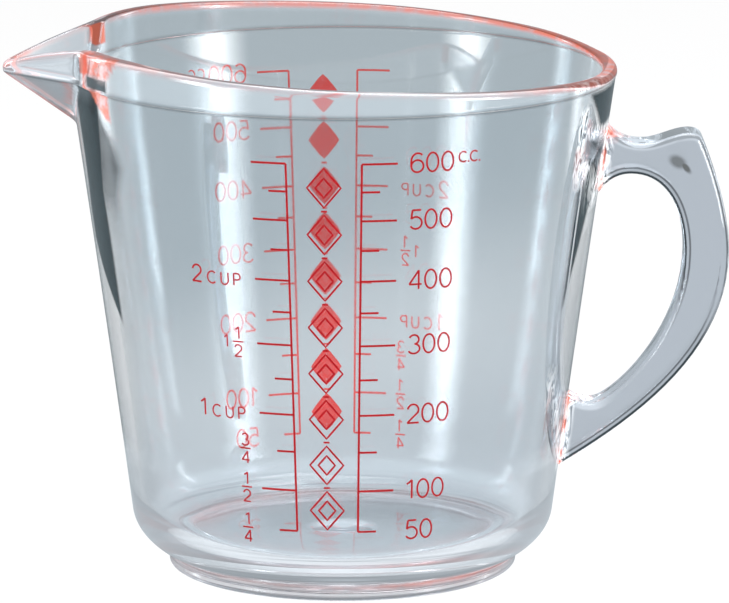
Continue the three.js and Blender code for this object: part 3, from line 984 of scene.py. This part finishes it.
ink = {
    "outwards": ((0.46, 0.012, 0.018, 1), (0.33, 0.010, 0.015, 1)),
    "inwards": ((0.95, 0.085, 0.07, 1), (0.85, 0.06, 0.05, 1)),  # painted light: lighter where it faces into the cup and is seen through the wall
    "glow": (0.15, 0.5),  # painted glow, outwards and inwards
    "turn": 0.01,  # the two sides meet within this much of edge-on
    "mottle": 900,
    "shader": {"Roughness": 0.5, "Specular IOR Level": 0.25, "Transmission Weight": 0.45, "IOR": 1.2,
               "Emission Strength": 1.0},
}
redInk, shader, surface = newMaterial("redInk")
where = objectPlace()
mottle = noise(where, ink["mottle"])
facing = vectorMath("DOT_PRODUCT", axisVector(where), addNode("NewGeometry")["Normal"])
inwards = mapRange(facing, ink["turn"], -ink["turn"])
red = mixColours(inwards, mixColours(mottle, *ink["outwards"]), mixColours(mottle, *ink["inwards"]))
glow = mixColours(mapRange(inwards, 0.0, 1.0, *ink["glow"]), black, red)
feedAll(shader, ink["shader"])
feedAll(shader, {"Base Color": red, "Emission Color": glow})

finishPiece(shell, clearBody, "clear_body", "cup_body")
finishPiece(bar, clearHandle, "clear_handle", "handle")
print("plastics and ink mixed")

prints = {
    # heights of the marks, by their volume in cc
    "marks": {50: 16.91, 100: 25.66, 150: 33.98, 200: 41.9, 250: 49.47, 300: 56.72, 350: 63.69, 400: 70.39,
              450: 76.84, 500: 83.07, 550: 89.1, 600: 94.93},
    "longTick": 7.2,
    "shortTick": 3.7,
    "line": 0.44,  # width of the lines
    "pen": 0.40,  # width of the numbers' strokes
    "finePen": 0.33,
    "number": 3.95,  # height of the big numbers
    "numberGap": 0.62,
    "labelGap": 9.9,  # from the upright line to the numbers
    "numbered": (600, 500, 400, 300, 200, 100, 50),
    "lineSteps": 16,
    "tickSteps": 4,
    "unit": {"word": "C.C.", "at": 600, "right": 1.2, "up": 1.5, "size": 2.15, "gap": 0.25},
    "cupGap": 10.4,
    "cupNumber": 3.5,
    "cups": ((400, "2"), (200, "1")),
    "parts": ((300, "1", "1", "2"), (150, "", "3", "4"), (100, "", "1", "2"), (50, "", "1", "4")),
    "small": 2.5,
    "smallGap": 1.1,
    "wordGap": 1.5,
    "barHalf": 1.15,  # the stroke of a fraction
    "barGap": 0.65,
    "wholeGap": 3.2,
    "aloneShift": 0.2,  # of a fraction alone, and after a whole number
    "afterShift": 1.0,
    "lift": 0.05,  # ink above the wall
    "thick": 0.03,
    "smoothUnder": 40,
    "chain": {"count": 8, "from": 21.5, "to": 90.0, "halfWidth": 3.4, "halfHeight": 4.1, "fillPen": 1.15,
              "inner": 0.5, "fill": (0.85, 0.5, 0.16), "linkHalf": 0.6, "sideSteps": 5},
    # degrees round the cup of each upright line
    "frontVolume": 274.0, "frontCup": 258.2, "backVolume": 102.4, "backCup": 86.6,
}


def straight(start, end, steps=2):
    return [tuple(a + (b - a) * i / steps for a, b in zip(start, end)) for i in range(steps + 1)]


# Strokes of each sign in a box one unit high, with its width.
signs = {
    "0": (0.66, [curveRun(0.33, 0.5, 0.31, 0.5, 90, 450, 24)]),
    "1": (0.42, [[(0.02, 0.78), (0.16, 0.87), (0.3, 1.0)], straight((0.3, 1.0), (0.3, 0.0))]),
    "2": (0.62, [curveRun(0.31, 0.7, 0.29, 0.3, 172, -34) + [(0.28, 0.28), (0.0, 0.0)],
                 straight((0.0, 0.0), (0.62, 0.0))]),
    "3": (0.62, [curveRun(0.3, 0.75, 0.26, 0.25, 155, -84), curveRun(0.3, 0.26, 0.31, 0.26, 84, -155)]),
    "4": (0.66, [straight((0.5, 0.0), (0.5, 1.0)), straight((0.5, 1.0), (0.0, 0.26)),
                 straight((0.0, 0.26), (0.66, 0.26))]),
    "5": (0.62, [[(0.57, 1.0), (0.34, 1.0), (0.12, 1.0)], [(0.12, 1.0), (0.09, 0.77), (0.06, 0.53)],
                 curveRun(0.3, 0.32, 0.32, 0.32, 138, -150)]),
    "6": (0.66, [curveRun(0.36, 0.62, 0.34, 0.38, 48, 180) + [(0.01, 0.45), (0.02, 0.32)],
                 curveRun(0.34, 0.32, 0.32, 0.32, 180, 540, 22)]),
    "C": (0.8, [curveRun(0.43, 0.5, 0.43, 0.5, 48, 312, 18)]),
    "U": (0.7, [[(0.03, 1.0), (0.03, 0.66), (0.03, 0.34)] + curveRun(0.35, 0.34, 0.32, 0.34, 180, 360)
                + [(0.67, 0.66), (0.67, 1.0)]]),
    "P": (0.62, [straight((0.04, 0.0), (0.04, 1.0)),
                 [(0.04, 1.0), (0.32, 1.0)] + curveRun(0.32, 0.74, 0.28, 0.26, 90, -90) + [(0.04, 0.48)]]),
    ".": (0.14, [straight((0.0, 0.03), (0.14, 0.03))]),
}


def wordStrokes(word, left, base, height, gap=0.0):
    made = []
    for sign in word:
        width, strokes = signs[sign]
        for stroke in strokes:
            made.append([(left + x * height, base + y * height) for x, y in stroke])
        left += width * height + gap
    return made, left - gap


def wordWidth(word, height, gap=0.0):
    return wordStrokes(word, 0, 0, height, gap)[1]


# Pen strokes drawn flat, in mm across and up, made a mesh and laid round the wall at an angle.
def penPiece(name, facing, runs):
    joined = []
    for width, strokes in runs:
        clearSelection()
        bpy.ops.curve.primitive_nurbs_path_add()
        pen = bpy.context.object
        pen.data.dimensions = "3D"
        pen.data.splines.clear()
        pen.data.bevel_depth = width / 2
        pen.data.bevel_resolution = 1
        pen.data.use_fill_caps = True
        for stroke in strokes:
            spline = pen.data.splines.new("POLY")
            closed = math.dist(stroke[0], stroke[-1]) < 1e-6
            path = stroke[:-1] if closed else stroke
            spline.points.add(len(path) - 1)
            spline.use_cyclic_u = closed
            for knot, (across, up) in zip(spline.points, path):
                knot.co = (across, up, 0, 1)
        bpy.ops.object.convert(target="MESH")
        joined.append(bpy.context.object)
    clearSelection()
    for piece in joined:
        piece.select_set(True)
    bpy.context.view_layer.objects.active = joined[0]
    if len(joined) > 1:
        bpy.ops.object.join()
    piece = bpy.context.object
    piece.name = piece.data.name = name
    half = max(width for width, strokes in runs) / 2
    for vertex in piece.data.vertices:
        across, up, out = vertex.co
        base = wallRadius(up)
        angle = math.radians(facing) + across / base
        radius = base + prints["lift"] + out / half * prints["thick"]
        vertex.co = Vector((axisX + radius * math.cos(angle), radius * math.sin(angle), up)) * mm
    makeActive(piece)
    bpy.ops.object.transform_apply(location=True, rotation=True, scale=True)
    smoothPiece(piece, prints["smoothUnder"])
    return piece


def combStrokes(side):
    marks = prints["marks"]
    made = [straight((0, min(marks.values())), (0, max(marks.values())), prints["lineSteps"])]
    for volume, height in marks.items():
        reach = prints["longTick"] if volume % 100 == 0 else prints["shortTick"]
        made.append(straight((0, height), (side * reach, height), prints["tickSteps"]))
    return made


def volumeNumbers():
    big, fine = [], []
    size, unit = prints["number"], prints["unit"]
    for volume in prints["numbered"]:
        base = prints["marks"][volume] - size / 2
        strokes, end = wordStrokes(str(volume), prints["labelGap"], base, size, prints["numberGap"])
        big += strokes
        if volume == unit["at"]:
            left, low = end + unit["right"], base + unit["up"]
            fine += wordStrokes(unit["word"], left, low, unit["size"], unit["gap"])[0]
    return [(prints["pen"], big), (prints["finePen"], fine)]


def cupNumbers():
    big, fine = [], []
    right = -prints["cupGap"]
    small, number = prints["small"], prints["cupNumber"]
    for volume, sign in prints["cups"]:
        base = prints["marks"][volume] - number / 2
        left = right - wordWidth("CUP", small, prints["smallGap"])
        fine += wordStrokes("CUP", left, base, small, prints["smallGap"])[0]
        big += wordStrokes(sign, left - prints["wordGap"] - wordWidth(sign, number), base, number)[0]
    for volume, whole, top, bottom in prints["parts"]:
        height = prints["marks"][volume]
        middle = right - prints["afterShift" if whole else "aloneShift"]
        fine.append(straight((middle - prints["barHalf"], height), (middle + prints["barHalf"], height)))
        for sign, low in ((top, prints["barGap"]), (bottom, -prints["barGap"] - small)):
            fine += wordStrokes(sign, middle - wordWidth(sign, small) / 2, height + low, small)[0]
        if whole:
            fine += wordStrokes(whole, middle - prints["wholeGap"], height - small / 2, small)[0]
    return [(prints["pen"], big), (prints["finePen"], fine)]


def lozenge(centre, halfWidth, halfHeight):
    corners = [(0, centre + halfHeight), (halfWidth, centre), (0, centre - halfHeight), (-halfWidth, centre)]
    made = []
    for here, there in zip(corners, corners[1:] + corners[:1]):
        made += straight(here, there, prints["chain"]["sideSteps"])[:-1]
    return made + made[:1]


# A chain of lozenges between the two lines: outlined in front, filled at the back.
def chainStrokes(face):
    c = prints["chain"]
    step = (c["to"] - c["from"]) / (c["count"] - 1)
    line, fill = [], []
    for i in range(c["count"]):
        centre = c["from"] + step * i
        strokes, sizes = (line, (1, c["inner"])) if face == "front" else (fill, c["fill"])
        strokes += [lozenge(centre, c["halfWidth"] * size, c["halfHeight"] * size) for size in sizes]
        if i:
            line.append(straight((-c["linkHalf"], centre - step / 2), (c["linkHalf"], centre - step / 2)))
    return [(width, strokes) for width, strokes in ((prints["pen"], line), (c["fillPen"], fill)) if strokes]


for face in ("front", "back"):
    volumeAt, cupAt = prints[face + "Volume"], prints[face + "Cup"]
    line = penPiece(face + "VolumeScale", volumeAt, [(prints["line"], combStrokes(1))])
    finishPiece(line, redInk, "red_ink", face + "_volume_scale")
    line = penPiece(face + "CupScale", cupAt, [(prints["line"], combStrokes(-1))])
    finishPiece(line, redInk, "red_ink", face + "_cup_scale")
    finishPiece(penPiece(face + "VolumeNumbers", volumeAt, volumeNumbers()), redInk, "red_ink")
    finishPiece(penPiece(face + "CupNumbers", cupAt, cupNumbers()), redInk, "red_ink")
    finishPiece(penPiece(face + "Chain", (volumeAt + cupAt) / 2, chainStrokes(face)), redInk, "red_ink")
    print(face, "prints laid on the wall")

stage = {
    "floorSize": 6.0,
    "floorDrop": 0.0002,
    "floorShader": {"Base Color": (0.86, 0.86, 0.86, 1), "Roughness": 0.9},
    "floorGlow": 0.85,  # share that is plain white, the rest keeps the shadow
    "floorInGloss": (0.25, 0.295, 0.32, 1),
    # bright cards on the floor, away from the cup, that its back wall mirrors: degrees round and half width
    "cards": [(-121, 10), (117, 6.5)],
    "cardsFrom": (0.27, 0.34),
    "cardLight": (5.6, 5.7, 5.8, 1),
    "worldWhite": (0.93, 0.95, 0.97, 1),
    "worldLight": 0.55,
    "worldInGloss": (0.34, 0.39, 0.42, 1),  # what the plastic mirrors of the studio
}


# 1 where a surface mirrors the studio, 0 where light passes through it.
def mirroredShare(rays):
    return times(rays["Is Glossy Ray"], minus(1.0, rays["Is Transmission Ray"]))


clearSelection()
bpy.ops.mesh.primitive_plane_add(size=stage["floorSize"], location=(0, 0, -stage["floorDrop"]))
floor = bpy.context.object
floor.name = "floor"
floorPaint, shader, surface = newMaterial("floorPaint")
feedAll(shader, stage["floorShader"])
rays = addNode("LightPath")
mirrored = mirroredShare(rays)
where = objectPlace()
axes = axesOf(where)
turnRound = doMath("ARCTAN2", axes["X"], times(axes["Y"], -1.0))
card = 0.0
for place, halfWidth in stage["cards"]:
    aside = doMath("ABSOLUTE", minus(turnRound, math.radians(place)), 0.0)
    card = larger(mapRange(aside, 0.0, math.radians(halfWidth), 1.0, 0.0), card)
card = times(card, mapRange(vectorMath("LENGTH", where), *stage["cardsFrom"]))
card = times(card, rays["Is Transmission Ray"])
plain = mixColours(mirrored, white, stage["floorInGloss"])
glow = addNode("Emission", {"Color": mixColours(card, plain, stage["cardLight"]), "Strength": 1.0})[0]
seen = times(larger(rays["Is Camera Ray"], rays["Is Transmission Ray"]), stage["floorGlow"])
feed(surface, mixShaders(larger(seen, mirrored), shader.outputs[0], glow))
floor.data.materials.append(floorPaint)

world = bpy.data.worlds.new("studio")
bpy.context.scene.world = world
world.use_nodes = True
bench["tree"] = world.node_tree
world.node_tree.nodes.clear()
output = world.node_tree.nodes.new("ShaderNodeOutputWorld")
rays = addNode("LightPath")
fill = addNode("Background", {"Color": stage["worldWhite"], "Strength": stage["worldLight"]})[0]
plain = mixColours(mirroredShare(rays), white, stage["worldInGloss"])
backdrop = addNode("Background", {"Color": plain, "Strength": 1.0})[0]
seen = larger(larger(rays["Is Camera Ray"], rays["Is Glossy Ray"]), rays["Is Transmission Ray"])
feed(output.inputs["Surface"], mixShaders(seen, fill, backdrop))

lamps = {
    "leftStrip": {"turn": -61, "distance": 0.9, "height": 0.22, "size": (0.5, 0.62), "power": 7.5},
    "rightStrip": {"turn": 62, "distance": 0.9, "height": 0.22, "size": (0.62, 0.62), "power": 9.5},
    "leftSide": {"turn": -121, "distance": 0.9, "height": 0.12, "size": (0.26, 0.9), "power": 2.9},
    "rightSide": {"turn": 117, "distance": 0.9, "height": 0.12, "size": (0.22, 0.9), "power": 3.0},
    "overhead": {"turn": 150, "distance": 0.35, "height": 1.1, "size": (0.9, 0.7), "power": 8.0},
}
lampStyle = {"aimHeight": 0.06, "fall": 1.6, "endFade": 0.22, "strength": 2.4}
for name, lamp in lamps.items():
    clearSelection()
    turn = math.radians(lamp["turn"])
    place = Vector((lamp["distance"] * math.sin(turn), -lamp["distance"] * math.cos(turn), lamp["height"]))
    bpy.ops.object.light_add(type="AREA", location=place)
    light = bpy.context.object
    light.name = name
    light.data.shape = "RECTANGLE"
    light.data.size, light.data.size_y = lamp["size"]
    light.data.energy = lamp["power"]
    aim = Vector((axisX * mm, 0, lampStyle["aimHeight"]))
    light.rotation_euler = (aim - place).to_track_quat("-Z", "Y").to_euler()
    light.visible_camera = False
    if name != "overhead":  # brightest along its middle, fading to all its edges
        light.data.use_nodes = True
        bench["tree"] = light.data.node_tree
        parts = axesOf(addNode("NewGeometry")["Parametric"])
        across = doMath("POWER", times(doMath("PINGPONG", parts["X"], 0.5), 2.0), lampStyle["fall"])
        along = mapRange(doMath("PINGPONG", parts["Y"], 0.5), 0.0, lampStyle["endFade"])
        strength = times(across, times(along, lampStyle["strength"]))
        feed(bench["tree"].nodes["Emission"].inputs["Strength"], strength)

shot = {
    "distance": 1.205,
    "height": 0.3125,
    "pitch": 12.05,
    "sensor": 36,
    "lens": 290.5,
    "shift": 0.0302,
    "near": 0.01,
}
clearSelection()
bpy.ops.object.camera_add(location=(axisX * mm, -shot["distance"], shot["height"]),
                          rotation=(math.radians(90 - shot["pitch"]), 0, 0))
camera = bpy.context.object
camera.data.sensor_width = shot["sensor"]
camera.data.lens = shot["lens"]
camera.data.shift_x = shot["shift"]
camera.data.clip_start = shot["near"]
bpy.context.scene.camera = camera
bpy.context.scene.view_settings.view_transform = "Standard"
print("studio lit")
